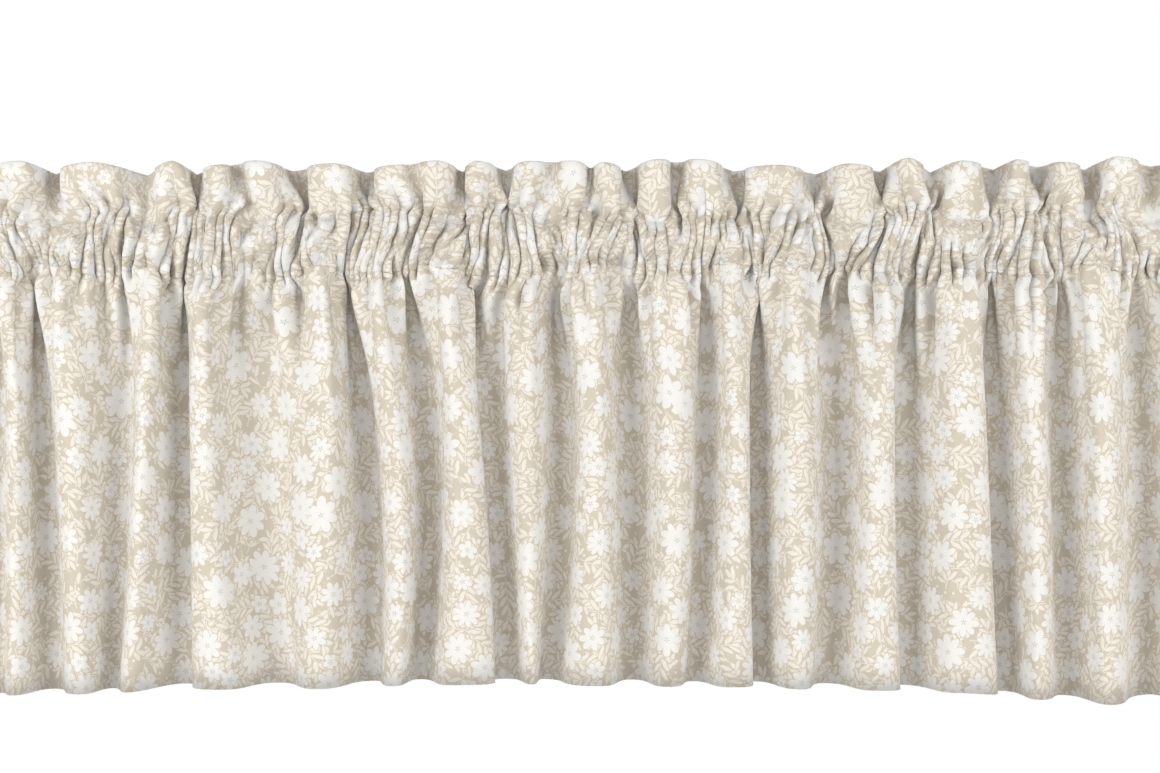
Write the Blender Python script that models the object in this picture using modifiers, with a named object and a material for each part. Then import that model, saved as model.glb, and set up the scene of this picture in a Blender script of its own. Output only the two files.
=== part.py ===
"""Gathered window valance: a stand-up ruffle, an open rod pocket and a folded skirt.

Metres, +Z up, front face towards -Y. The origin is the middle of the top edge. Tables are in millimetres.
"""
import math
import random
from collections import namedtuple

import bmesh
import bpy

for old in list(bpy.data.objects):
    bpy.data.objects.remove(old, do_unlink=True)

MM = 0.001

# Driving dimensions, in millimetres.
HUNG_WIDTH = 912.0
FLAT_WIDTH = 1524.0
RUFFLE_HEIGHT = 38.0
POCKET_HEIGHT = 39.0
POCKET_DEPTH = 20.0
POCKET_SHOULDER = 9.0
SKIRT_THICKNESS = 1.2
TURNOVER_THICKNESS = 1.0
LAYER_PITCH = 1.7
COLUMNS = 193

PINCH_Z = -RUFFLE_HEIGHT
SEAM_Z = PINCH_Z - POCKET_HEIGHT
SEAM_GAP = 0.8
PINCH_WAVE = 5.0
SEAM_WAVE = 6.0

# The gathers. A puff holds less cloth than its surroundings by PUFF_SLACK and swells forward by PUFF_RISE.
# The pocket's pleats lean by PLEAT_SWING, to and fro along every SWING_RUN. The gathers even out over
# SETTLE_COLUMNS of cloth and SETTLE_PLACES along the rod. At the stitching the folds keep GATHER_SHARE of
# their depth, and their crests are as soft as SOFT_CREST.
PUFF_SLACK = 0.42
PUFF_SPREAD = 1.35
PUFF_FLATNESS = 1.6
PUFF_RISE = 4.5
PLEAT_SWING = 3.0
SWING_RUN = 47.0
SETTLE_COLUMNS = 12
SETTLE_PLACES = 60
GATHER_SHARE = 0.3
SOFT_CREST = 0.3
GATHER_UNEVEN = 0.55
MITRE_LIMIT = 1.8
ROD_PLACES = 1200

# Heights at which the skirt's folds are placed.
FOLD_TOP_Z = -98.0
FOLD_MID_Z = -229.0
FOLD_HEM_Z = -353.0

# A fold's crest stands forward of the rod's plane and its valley behind it. left and right say how round
# the crest is on each side, and floor how round the valley is: past 1 the cloth tucks under itself.
SkirtFold = namedtuple(
    "SkirtFold",
    "crest_top crest_mid crest_hem valley_top valley_mid valley_hem rise drop left right floor")
SKIRT_FOLDS = [
    SkirtFold(-437, -438, -440, -426, -425, -424, 6, 4, 0.5, 0.5, 0.5),
    SkirtFold(-410, -409, -410, -402, -393, -389, 8, 12, 0.5, 0.65, 0.6),
    SkirtFold(-375, -366, -360, -332, -335, -342, 12, 9, 0.7, 0.55, 0.5),
    SkirtFold(-313, -317, -324, -290, -288, -290, 11, 13, 0.5, 0.4, 0.5),
    SkirtFold(-270, -270, -259, -251, -241, -226, 11, 12, 1.2, 0.5, 0.6),
    SkirtFold(-185, -183, -188, -169, -155, -152, 13, 14, 0.55, 0.65, 0.6),
    SkirtFold(-149, -131, -131, -123, -110, -116, 10, 12, 0.8, 0.55, 0.6),
    SkirtFold(-92, -87, -90, -79, -64, -54, 14, 11, 0.65, 1.4, 0.7),
    SkirtFold(-41, -39, -35, -15, -12, -24, 9, 12, 0.5, 0.6, 0.6),
    SkirtFold(7, 12, 14, 33, 38, 39, 12, 13, 0.9, 0.65, 0.6),
    SkirtFold(63, 67, 64, 94, 92, 85, 12, 10, 0.6, 0.85, 0.55),
    SkirtFold(109, 112, 109, 127, 126, 129, 11, 12, 0.55, 1.4, 0.55),
    SkirtFold(156, 157, 157, 184, 191, 184, 13, 13, 0.6, 0.65, 0.65),
    SkirtFold(216, 213, 212, 234, 233, 237, 12, 14, 0.6, 1.4, 0.6),
    SkirtFold(271, 273, 272, 301, 307, 315, 12, 13, 0.5, 1.2, 0.6),
    SkirtFold(324, 329, 330, 349, 355, 359, 12, 11, 0.6, 0.6, 0.6),
    SkirtFold(373, 375, 378, 411, 417, 417, 15, 12, 0.5, 0.6, 0.6),
    SkirtFold(431, 433, 433, 456, 456, 456, 9, 2, 0.55, 0.55, 0.5),
]

# Small folds that start at the gathers and die out down the skirt. push is backwards where positive.
SmallFold = namedtuple("SmallFold", "x_top x_foot width push reach")
SMALL_FOLDS = [
    SmallFold(-353, -353, 9, 4.0, 90),
    SmallFold(-202, -200, 9, 6.0, 230),
    SmallFold(-57, -55, 7, 4.5, 110),
    SmallFold(18, 18, 6, 3.0, 60),
    SmallFold(257, 262, 8, 5.0, 240),
]

# The ruffle's flaps, each with the recess to its right. crest_edge and valley_edge are the heights of the
# cloth's top edge there above the nominal one, and it falls off a crest with the power EDGE_FALL.
EDGE_FALL = 1.5
Flap = namedtuple(
    "Flap",
    "crest_top crest_foot valley_top valley_foot rise drop left right floor crest_edge valley_edge")
FLAPS = [
    Flap(-442, -442, -434, -434, 5, 6, 0.95, 0.95, 0.7, -1, -3),
    Flap(-405, -404, -386, -385, 7, 9, 0.95, 1.1, 0.72, 1, -6),
    Flap(-354, -356, -316, -317, 8, 4, 1.3, 0.95, 0.6, 0, -8),
    Flap(-295, -295, -281, -280, 7, 6, 0.95, 1.1, 0.72, 1, -7),
    Flap(-263, -259, -252, -241, 7, 4, 0.95, 0.95, 0.7, -2, 0),
    Flap(-233, -223, -211, -201, 8, 9, 0.95, 1.3, 0.72, 1, -4),
    Flap(-179, -176, -156, -156, 8, 9, 0.95, 0.95, 0.72, -1, -5),
    Flap(-133, -135, -124, -123, 7, -2, 1.2, 0.95, 0.6, -2, -1),
    Flap(-103, -101, -86, -84, 8, 6, 0.95, 1.2, 0.72, 1, -5),
    Flap(-75, -74, -54, -51, 7, 7, 1.2, 0.95, 0.72, 1, -4),
    Flap(-38, -39, -20, -22, 6, 0, 0.95, 0.95, 0.6, 1, 1),
    Flap(-4, -2, 8, 9, 7, 2, 0.95, 0.95, 0.6, 1, -3),
    Flap(17, 23, 34, 40, 7, 9, 0.95, 1.2, 0.72, 0, -4),
    Flap(56, 54, 70, 70, 8, 5, 0.95, 1, 0.72, 2, 2),
    Flap(87, 88, 113, 119, 8, 9, 0.95, 0.95, 0.72, 2, -4),
    Flap(143, 143, 174, 176, 7, 10, 1.3, 0.95, 0.72, -2, -6),
    Flap(194, 198, 221, 224, 7, 10, 0.95, 1.2, 0.72, -1, -4),
    Flap(237, 237, 256, 257, 8, 3, 1.1, 0.95, 0.7, 3, -6),
    Flap(276, 278, 304, 306, 8, 8, 0.9, 0.9, 0.8, 1, -3),
    Flap(316, 315, 335, 340, 7, 8, 0.5, 0.9, 0.9, 2, -1),
    Flap(348, 355, 371, 377, 8, 8, 0.9, 1.2, 0.9, 0, -3),
    Flap(388, 389, 418, 419, 8, 6, 1, 0.95, 0.72, 4, -1),
    Flap(433, 433, 456, 456, 6, 1, 0.95, 0.95, 0.6, 0, -1),
]

# Puffs of the pocket, where the cloth lies smooth between tight gathers.
Puff = namedtuple("Puff", "centre half_width")
PUFFS = [
    Puff(-436, 10), Puff(-396, 10), Puff(-373, 13), Puff(-317, 13), Puff(-238, 11), Puff(-190, 12),
    Puff(-101, 18), Puff(-22, 10), Puff(19, 17), Puff(61, 15), Puff(105, 17), Puff(156, 11),
    Puff(193, 16), Puff(277, 12), Puff(369, 17), Puff(413, 11),
]

HemPoint = namedtuple("HemPoint", "x drop")
HEM_LINE = [
    HemPoint(-456, 386), HemPoint(-357, 383), HemPoint(-284, 380), HemPoint(-189, 379),
    HemPoint(-80, 376), HemPoint(15, 377), HemPoint(102, 378), HemPoint(197, 380),
    HemPoint(270, 382), HemPoint(335, 387), HemPoint(386, 390), HemPoint(456, 385),
]

# Rows of cloth. away is how far a row lies from its stitching, as a share of the way to the hem or to the
# ruffle's edge, opened how much of the folds' depth has opened, and pleats how deep the fine pleats still are.
ClothRow = namedtuple("ClothRow", "away opened pleats")
SKIRT_ROWS = [
    ClothRow(0.0, 0.3, 0.66), ClothRow(0.045, 0.55, 0.7), ClothRow(0.11, 0.85, 0.66),
    ClothRow(0.22, 1.0, 0.0), ClothRow(0.40, 1.0, 0.0), ClothRow(0.60, 1.0, 0.0),
    ClothRow(0.80, 1.0, 0.0), ClothRow(1.0, 1.0, 0.0),
]
RUFFLE_ROWS = [
    ClothRow(0.0, 0.3, 0.66), ClothRow(0.3, 0.6, 0.36), ClothRow(0.65, 0.9, 0.0), ClothRow(1.0, 1.0, 0.0),
]

Spot = namedtuple("Spot", "x y edge")
Crease = namedtuple("Crease", "x y left right edge")
SIDE_EDGE = Crease(-HUNG_WIDTH / 2, 2.0, 0.6, 0.6, -2.0)


def smooth(t):
    """Ease from 0 to 1 with level ends."""
    t = min(max(t, 0.0), 1.0)
    return t * t * (3.0 - 2.0 * t)


def through(top, middle, foot, z):
    """Value at height z of the curve through a fold's three measured places."""
    a = (z - FOLD_MID_Z) * (z - FOLD_HEM_Z) / ((FOLD_TOP_Z - FOLD_MID_Z) * (FOLD_TOP_Z - FOLD_HEM_Z))
    b = (z - FOLD_TOP_Z) * (z - FOLD_HEM_Z) / ((FOLD_MID_Z - FOLD_TOP_Z) * (FOLD_MID_Z - FOLD_HEM_Z))
    c = (z - FOLD_TOP_Z) * (z - FOLD_MID_Z) / ((FOLD_HEM_Z - FOLD_TOP_Z) * (FOLD_HEM_Z - FOLD_MID_Z))
    return a * top + b * middle + c * foot


def skirt_creases(z):
    """Crests and valleys of the skirt at height z, from the left edge to the right one."""
    creases = [SIDE_EDGE]
    for fold in SKIRT_FOLDS:
        crest = through(fold.crest_top, fold.crest_mid, fold.crest_hem, z)
        valley = through(fold.valley_top, fold.valley_mid, fold.valley_hem, z)
        creases.append(Crease(crest, -fold.rise, fold.left, fold.right, 0.0))
        creases.append(Crease(valley, fold.drop, fold.floor, fold.floor, 0.0))
    creases[-1] = creases[-1]._replace(x=HUNG_WIDTH / 2)
    return creases


def ruffle_creases(foot):
    """Crests and valleys of the ruffle, from its top edge (foot 0) down to the stitching (foot 1)."""
    creases = [SIDE_EDGE]
    for flap in FLAPS:
        crest = flap.crest_top + (flap.crest_foot - flap.crest_top) * foot
        valley = flap.valley_top + (flap.valley_foot - flap.valley_top) * foot
        creases.append(Crease(crest, -flap.rise, flap.left, flap.right, flap.crest_edge))
        creases.append(Crease(valley, flap.drop, flap.floor, flap.floor, flap.valley_edge))
    creases[-1] = creases[-1]._replace(x=HUNG_WIDTH / 2)
    return creases


def section(creases, depth, steps=14):
    """Plan of the cloth: level Bezier flanks from crease to crease, their depths scaled."""
    spots = []
    for a, b in zip(creases, creases[1:]):
        run = b.x - a.x
        for step in range(steps):
            t = step / steps
            s = 1.0 - t
            x = (a.x * s ** 3 + 3 * (a.x + run * a.right) * s * s * t
                 + 3 * (b.x - run * b.left) * s * t * t + b.x * t ** 3)
            y = depth * (a.y + (b.y - a.y) * smooth(t))
            off_crest = abs(x - a.x if a.y < b.y else b.x - x) / run
            fall = min(off_crest, 1.0) ** EDGE_FALL
            high, low = (a.edge, b.edge) if a.y < b.y else (b.edge, a.edge)
            spots.append(Spot(x, y, high + (low - high) * fall))
    last = creases[-1]
    spots.append(Spot(last.x, depth * last.y, last.edge))
    return spots


def lengths(spots):
    """Running length along a plan, from 0 at its left end."""
    total = [0.0]
    for a, b in zip(spots, spots[1:]):
        total.append(total[-1] + math.hypot(b.x - a.x, b.y - a.y))
    return total


def full_depth(creases):
    """Depth scale at which the folds use up the whole flat width of the cloth."""
    low, high = 0.2, 4.0
    for _ in range(24):
        middle = (low + high) / 2
        if lengths(section(creases, middle))[-1] < FLAT_WIDTH:
            low = middle
        else:
            high = middle
    return low


def spread(spots, shares):
    """Spots at the given shares of a plan's length."""
    run = lengths(spots)
    placed = []
    at = 0
    for share in shares:
        want = share * run[-1]
        while at < len(run) - 2 and run[at + 1] < want:
            at += 1
        t = (want - run[at]) / max(run[at + 1] - run[at], 1e-9)
        a, b = spots[at], spots[at + 1]
        placed.append(Spot(*(p + (q - p) * t for p, q in zip(a, b))))
    return placed


def sideways(spots):
    """Unit normals of a plan, pointing backwards, and how much each must stretch to keep a layer's distance."""
    normals = []
    for i in range(len(spots)):
        turns = []
        for a, b in ((max(i - 1, 0), i), (i, min(i + 1, len(spots) - 1))):
            dx, dy = spots[b].x - spots[a].x, spots[b].y - spots[a].y
            size = math.hypot(dx, dy)
            if size > 0:
                turns.append((-dy / size, dx / size))
        nx = sum(t[0] for t in turns) / len(turns)
        ny = sum(t[1] for t in turns) / len(turns)
        size = math.hypot(nx, ny)
        normals.append((nx / size, ny / size, min(1.0 / size, MITRE_LIMIT)))
    return normals


def puffed(x):
    """1 at the middle of a puff of the pocket, 0 in the tight gathers between puffs."""
    best = 0.0
    for puff in PUFFS:
        best = max(best, 1.0 - abs(x - puff.centre) / (PUFF_SPREAD * puff.half_width))
    return smooth(best * PUFF_FLATNESS)


def eased(values, reach):
    """Moving average whose window shrinks to nothing at the two ends."""
    result = []
    for i in range(len(values)):
        near = min(reach, i, len(values) - 1 - i)
        window = values[i - near:i + near + 1]
        result.append(sum(window) / len(window))
    return result


def gathered_shares():
    """Share of the hung width at which each column of the cloth is stitched into the gathers.

    Each column keeps near its place in the ruffle above and the skirt below, and the puffs hold less cloth.
    """
    above, below = ruffle_creases(0.0), skirt_creases(FOLD_TOP_Z)
    upper = spread(section(above, full_depth(above)), EVEN)
    lower = spread(section(below, full_depth(below)), EVEN)
    hung = eased([(a.x + b.x) / 2 for a, b in zip(upper, lower)], SETTLE_COLUMNS)
    count = ROD_PLACES
    places = [-HUNG_WIDTH / 2 + HUNG_WIDTH * i / count for i in range(count + 1)]
    smoothness = [puffed(x) for x in places]
    nearby = eased(smoothness, SETTLE_PLACES)
    run = [0.0]
    column = 0
    for i in range(count):
        while column < COLUMNS - 2 and hung[column + 1] < places[i]:
            column += 1
        cloth = (places[i + 1] - places[i]) / (hung[column + 1] - hung[column])
        run.append(run[-1] + cloth * (1.0 + PUFF_SLACK * (nearby[i] - smoothness[i])))
    shares = []
    at = 0
    for column in range(COLUMNS):
        want = run[-1] * column / (COLUMNS - 1)
        while at < count - 1 and run[at + 1] < want:
            at += 1
        shares.append((at + (want - run[at]) / (run[at + 1] - run[at])) / count)
    return shares


def pleated(spots, share):
    """Fold the cloth that a plan leaves over into fine pleats, one crest or hollow a column."""
    cloth = FLAT_WIDTH / (COLUMNS - 1)
    normals = sideways(spots)
    folded = [spots[0]]
    for i in range(1, len(spots) - 1):
        run = math.hypot(spots[i + 1].x - spots[i - 1].x, spots[i + 1].y - spots[i - 1].y) / 2
        height = 0.5 * math.sqrt(max(cloth * cloth - run * run, 0.0))
        height *= share * PLEAT_SHARES[i]
        if i % 2:
            height = -height
        nx, ny, _ = normals[i]
        folded.append(Spot(spots[i].x + nx * height, spots[i].y + ny * height, spots[i].edge))
    folded.append(spots[-1])
    return folded


def shifted(spots, backwards):
    """The layer of cloth that lies a constant distance in front of (negative) or behind a plan."""
    layer = []
    for spot, (nx, ny, stretch) in zip(spots, sideways(spots)):
        layer.append(Spot(spot.x + nx * backwards * stretch, spot.y + ny * backwards * stretch, spot.edge))
    return layer


def hem_drop(x):
    """How far below the top edge the hem hangs at x."""
    for a, b in zip(HEM_LINE, HEM_LINE[1:]):
        if x <= b.x:
            return a.drop + (b.drop - a.drop) * smooth((x - a.x) / (b.x - a.x))
    return HEM_LINE[-1].drop


def seam_height(x):
    """Height of the lower row of stitching, which rides up under the puffs."""
    return SEAM_Z + SEAM_WAVE * (puffed(x) - 0.5)


def pinch_height(x):
    """Height of the upper row of stitching, which the puffs pull down."""
    return PINCH_Z - PINCH_WAVE * (puffed(x) - 0.5)


def small_push(x, below_seam):
    """How far the dying small folds push the skirt back at x."""
    push = 0.0
    for fold in SMALL_FOLDS:
        fade = smooth(1.0 - below_seam / fold.reach)
        centre = fold.x_top + (fold.x_foot - fold.x_top) * min(below_seam / fold.reach, 1.0)
        push += fold.push * fade * math.exp(-((x - centre) / fold.width) ** 2)
    return push


rng = random.Random(5)
PLEAT_SHARES = [1.0 - GATHER_UNEVEN * rng.random() for _ in range(COLUMNS)]
EVEN = [i / (COLUMNS - 1) for i in range(COLUMNS)]
GATHERED = gathered_shares()


def cloth_row(creases, row, z):
    """Plan of the cloth along one row, whose columns move from the gathers' places to even ones."""
    depth = full_depth(creases) * row.opened
    soft = [c._replace(left=SOFT_CREST + (c.left - SOFT_CREST) * row.opened,
                       right=SOFT_CREST + (c.right - SOFT_CREST) * row.opened) for c in creases]
    spots = section(soft, depth)
    if z < SEAM_Z:
        spots = [s._replace(y=s.y + small_push(s.x, SEAM_Z - z)) for s in spots]
    ease = smooth((row.opened - GATHER_SHARE) / (1.0 - GATHER_SHARE))
    shares = [g + (e - g) * ease for g, e in zip(GATHERED, EVEN)]
    return pleated(spread(spots, shares), row.pleats)


def pocket_plan(rise, swing):
    """Pleats on one wall of the pocket, which swells forward over the puffs and lets its pleats lean."""
    level = [Spot((share - 0.5) * HUNG_WIDTH, 0.0, 0.0) for share in GATHERED]
    swung = []
    for spot in level:
        inside = 1.0 - (2.0 * spot.x / HUNG_WIDTH) ** 8
        lean = swing * inside * math.sin(math.pi * spot.x / SWING_RUN)
        swung.append(spot._replace(x=spot.x + lean))
    return [s._replace(y=s.y - rise * puffed(s.x)) for s in pleated(swung, SKIRT_ROWS[0].pleats)]


def cloth_sheet(name, rows, turn, thickness, colour):
    """One solid sheet of cloth from rows of points in millimetres.

    Past row turn the cloth runs back down behind itself, so its facets are split the other way to nest.
    """
    mesh = bpy.data.meshes.new(name)
    bm = bmesh.new()
    grid = [[bm.verts.new((x * MM, y * MM, z * MM)) for x, y, z in row] for row in rows]
    for number, (row, following) in enumerate(zip(grid, grid[1:])):
        for i in range(len(row) - 1):
            a, b, c, d = row[i], following[i], following[i + 1], row[i + 1]
            if number < turn:
                bm.faces.new((a, b, c))
                bm.faces.new((a, c, d))
            else:
                bm.faces.new((a, b, d))
                bm.faces.new((b, c, d))
    bm.to_mesh(mesh)
    bm.free()
    sheet = bpy.data.objects.new(name, mesh)
    valance.objects.link(sheet)
    wall = sheet.modifiers.new("Cloth thickness", "SOLIDIFY")
    wall.thickness = thickness * MM
    wall.offset = 0.0
    material = bpy.data.materials.new(name)
    material.use_nodes = True
    shader = material.node_tree.nodes["Principled BSDF"]
    shader.inputs["Base Color"].default_value = colour
    shader.inputs["Roughness"].default_value = 0.9
    shader.inputs["Metallic"].default_value = 0.0
    sheet.data.materials.append(material)
    return sheet


def panel_rows():
    """The skirt from the lower stitching to the hem: pleats that open into the hung folds."""
    rows = []
    for row in SKIRT_ROWS:
        z = SEAM_Z + (-hem_drop(0.0) - SEAM_Z) * row.away
        line = []
        for spot in cloth_row(skirt_creases(z), row, z):
            top = seam_height(spot.x) - SEAM_GAP
            line.append((spot.x, spot.y, top + (-hem_drop(spot.x) - top) * row.away))
        rows.append(line)
    return rows


def heading_rows():
    """The turned-over top: up the pocket's front and the ruffle, over the edge and down the back."""
    wall = POCKET_DEPTH / 2
    low_z, high_z = SEAM_Z + POCKET_SHOULDER, PINCH_Z - POCKET_SHOULDER
    seam = cloth_row(skirt_creases(SEAM_Z), SKIRT_ROWS[0], SEAM_Z)
    ruffle = [(row, cloth_row(ruffle_creases(1.0 - row.away), row, 0.0)) for row in RUFFLE_ROWS]

    def layer(backwards, rise):
        """One of the two layers, from the lower stitching up to the ruffle's edge."""
        half = backwards * LAYER_PITCH / 2
        rows = [[(s.x, s.y, seam_height(t.x)) for s, t in zip(shifted(seam, half), seam)]]
        for z, swing in ((low_z, PLEAT_SWING), (high_z, -PLEAT_SWING)):
            rows.append([(s.x, s.y + backwards * wall, z) for s in pocket_plan(rise, swing)])
        for row, plan in ruffle:
            rows.append([
                (s.x, s.y, pinch_height(t.x) * (1.0 - row.away) + t.edge * row.away)
                for s, t in zip(shifted(plan, half), plan)])
        return rows

    return layer(-1, PUFF_RISE) + layer(1, 0.0)[::-1]


valance = bpy.data.collections.new("Window valance")
bpy.context.scene.collection.children.link(valance)

skirt = panel_rows()
turnover = heading_rows()
cloth_sheet("panel", skirt, len(skirt), SKIRT_THICKNESS, (0.80, 0.76, 0.70, 1.0))
cloth_sheet("heading", turnover, len(turnover) // 2, TURNOVER_THICKNESS, (0.78, 0.74, 0.68, 1.0))
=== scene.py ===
"""A gathered window valance of printed cotton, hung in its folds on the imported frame.

The tables are in millimetres, and the meshes in metres. Front is towards -Y.
"""
import math
import random
from collections import namedtuple

import bpy
from mathutils import Matrix, Vector, noise


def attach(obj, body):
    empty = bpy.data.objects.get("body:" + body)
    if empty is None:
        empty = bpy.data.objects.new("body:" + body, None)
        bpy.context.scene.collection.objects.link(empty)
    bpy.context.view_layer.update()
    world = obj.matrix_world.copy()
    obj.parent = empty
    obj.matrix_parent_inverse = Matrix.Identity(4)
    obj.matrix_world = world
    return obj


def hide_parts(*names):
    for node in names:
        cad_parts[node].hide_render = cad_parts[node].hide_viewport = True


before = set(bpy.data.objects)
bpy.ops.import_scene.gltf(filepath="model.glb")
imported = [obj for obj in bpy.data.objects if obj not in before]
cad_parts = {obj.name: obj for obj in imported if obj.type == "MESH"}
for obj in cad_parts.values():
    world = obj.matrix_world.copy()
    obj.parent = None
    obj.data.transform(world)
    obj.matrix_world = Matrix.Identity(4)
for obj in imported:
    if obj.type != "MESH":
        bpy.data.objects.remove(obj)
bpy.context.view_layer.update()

bpy.ops.object.select_all(action="DESELECT")

# The gathers.
# The cloth is one flat width, turned over at the top and sewn across in two rows, so that a pocket lies
# between them. Pushed together along a rod it hangs in these folds, which the skirt and the ruffle share out.
MM = 0.001
HUNG_WIDTH = 912.0
FLAT_WIDTH = 1524.0
PINCH_Z = -38.0
SEAM_Z = -77.0
PINCH_WAVE = 5.0
SEAM_WAVE = 6.0
POCKET_WALL = 10.0
FRONT_WALL = 9.0
PUFF_SLACK = 0.42
PUFF_SPREAD = 1.35
PUFF_FLATNESS = 1.6
PUFF_RISE = 4.5
GATHER_SHARE = 0.3
SOFT_CREST = 0.3
COLUMNS = 1181
SETTLE_COLUMNS = 74
SETTLE_PLACES = 60
ROD_PLACES = 1200
FOLD_TOP_Z = -98.0
FOLD_MID_Z = -229.0
FOLD_HEM_Z = -353.0

# A crest stands forward by rise and a valley back by drop, and they wander from the top to the hem.
SkirtFold = namedtuple(
    "SkirtFold",
    "crest_top crest_mid crest_hem valley_top valley_mid valley_hem rise drop left right floor")
SKIRT_FOLDS = [
    SkirtFold(-437, -438, -440, -426, -425, -424, 6, 4, 0.5, 0.5, 0.5),
    SkirtFold(-410, -409, -410, -402, -393, -389, 8, 12, 0.5, 0.65, 0.6),
    SkirtFold(-375, -366, -360, -332, -335, -342, 12, 9, 0.7, 0.55, 0.5),
    SkirtFold(-313, -317, -324, -290, -288, -290, 11, 13, 0.5, 0.4, 0.5),
    SkirtFold(-270, -270, -259, -251, -241, -226, 11, 12, 1.2, 0.5, 0.6),
    SkirtFold(-185, -183, -188, -169, -155, -152, 13, 14, 0.55, 0.65, 0.6),
    SkirtFold(-149, -131, -131, -123, -110, -116, 10, 12, 0.8, 0.55, 0.6),
    SkirtFold(-92, -87, -90, -79, -64, -54, 14, 11, 0.65, 1.4, 0.7),
    SkirtFold(-41, -39, -35, -15, -12, -24, 9, 12, 0.5, 0.6, 0.6),
    SkirtFold(7, 12, 14, 33, 38, 39, 12, 13, 0.9, 0.65, 0.6),
    SkirtFold(63, 67, 64, 94, 92, 85, 12, 10, 0.6, 0.85, 0.55),
    SkirtFold(109, 112, 109, 127, 126, 129, 11, 12, 0.55, 1.4, 0.55),
    SkirtFold(156, 157, 157, 184, 191, 184, 13, 13, 0.6, 0.65, 0.65),
    SkirtFold(216, 213, 212, 234, 233, 237, 12, 14, 0.6, 1.4, 0.6),
    SkirtFold(271, 273, 272, 301, 307, 315, 12, 13, 0.5, 1.2, 0.6),
    SkirtFold(324, 329, 330, 349, 355, 359, 12, 11, 0.6, 0.6, 0.6),
    SkirtFold(373, 375, 378, 411, 417, 417, 15, 12, 0.5, 0.6, 0.6),
    SkirtFold(431, 433, 433, 456, 456, 456, 9, 2, 0.55, 0.55, 0.5),
]
SmallFold = namedtuple("SmallFold", "x_top x_foot width push reach")
SMALL_FOLDS = [
    SmallFold(-353, -353, 9, 4.0, 90), SmallFold(-202, -200, 9, 6.0, 230),
    SmallFold(-57, -55, 7, 4.5, 110), SmallFold(18, 18, 6, 3.0, 60),
    SmallFold(257, 262, 8, 5.0, 240),
]
Flap = namedtuple(
    "Flap",
    "crest_top crest_foot valley_top valley_foot rise drop left right floor crest_edge valley_edge")
FLAPS = [
    Flap(-442, -442, -434, -434, 5, 6, 0.95, 0.95, 0.7, -1, -3),
    Flap(-405, -404, -386, -385, 7, 9, 0.95, 1.1, 0.72, 1, -6),
    Flap(-354, -356, -316, -317, 8, 4, 1.3, 0.95, 0.6, 0, -8),
    Flap(-295, -295, -281, -280, 7, 6, 0.95, 1.1, 0.72, 1, -7),
    Flap(-263, -259, -252, -241, 7, 4, 0.95, 0.95, 0.7, -2, 0),
    Flap(-233, -223, -211, -201, 8, 9, 0.95, 1.3, 0.72, 1, -4),
    Flap(-179, -176, -156, -156, 8, 9, 0.95, 0.95, 0.72, -1, -5),
    Flap(-133, -135, -124, -123, 7, -2, 1.2, 0.95, 0.6, -2, -1),
    Flap(-103, -101, -86, -84, 8, 6, 0.95, 1.2, 0.72, 1, -5),
    Flap(-75, -74, -54, -51, 7, 7, 1.2, 0.95, 0.72, 1, -4),
    Flap(-38, -39, -20, -22, 6, 0, 0.95, 0.95, 0.6, 1, 1),
    Flap(-4, -2, 8, 9, 7, 2, 0.95, 0.95, 0.6, 1, -3),
    Flap(17, 23, 34, 40, 7, 9, 0.95, 1.2, 0.72, 0, -4),
    Flap(56, 54, 70, 70, 8, 5, 0.95, 1, 0.72, 2, 2),
    Flap(87, 88, 113, 119, 8, 9, 0.95, 0.95, 0.72, 2, -4),
    Flap(143, 143, 174, 176, 7, 10, 1.3, 0.95, 0.72, -2, -6),
    Flap(194, 198, 221, 224, 7, 10, 0.95, 1.2, 0.72, -1, -4),
    Flap(237, 237, 256, 257, 8, 3, 1.1, 0.95, 0.7, 3, -6),
    Flap(276, 278, 304, 306, 8, 8, 0.9, 0.9, 0.8, 1, -3),
    Flap(316, 315, 335, 340, 7, 8, 0.5, 0.9, 0.9, 2, -1),
    Flap(348, 355, 371, 377, 8, 8, 0.9, 1.2, 0.9, 0, -3),
    Flap(388, 389, 418, 419, 8, 6, 1, 0.95, 0.72, 4, -1),
    Flap(433, 433, 456, 456, 6, 1, 0.95, 0.95, 0.6, 0, -1),
]
EDGE_FALL = 1.5
Puff = namedtuple("Puff", "centre half_width")
PUFFS = [
    Puff(-436, 10), Puff(-396, 10), Puff(-373, 13), Puff(-317, 13), Puff(-238, 11), Puff(-190, 12),
    Puff(-101, 18), Puff(-22, 10), Puff(19, 17), Puff(61, 15), Puff(105, 17), Puff(156, 11),
    Puff(193, 16), Puff(277, 12), Puff(369, 17), Puff(413, 11),
]
Spot = namedtuple("Spot", "x y edge")
Crease = namedtuple("Crease", "x y left right edge")
SIDE_EDGE = Crease(-HUNG_WIDTH / 2, 2.0, 0.6, 0.6, -2.0)
EVEN = [i / (COLUMNS - 1) for i in range(COLUMNS)]


def smooth(t):
    """Ease from 0 to 1 with level ends."""
    t = min(max(t, 0.0), 1.0)
    return t * t * (3.0 - 2.0 * t)


def through(top, middle, foot, z):
    """Value at height z of the curve through a fold's three places."""
    a = (z - FOLD_MID_Z) * (z - FOLD_HEM_Z) / ((FOLD_TOP_Z - FOLD_MID_Z) * (FOLD_TOP_Z - FOLD_HEM_Z))
    b = (z - FOLD_TOP_Z) * (z - FOLD_HEM_Z) / ((FOLD_MID_Z - FOLD_TOP_Z) * (FOLD_MID_Z - FOLD_HEM_Z))
    c = (z - FOLD_TOP_Z) * (z - FOLD_MID_Z) / ((FOLD_HEM_Z - FOLD_TOP_Z) * (FOLD_HEM_Z - FOLD_MID_Z))
    return a * top + b * middle + c * foot


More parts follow.
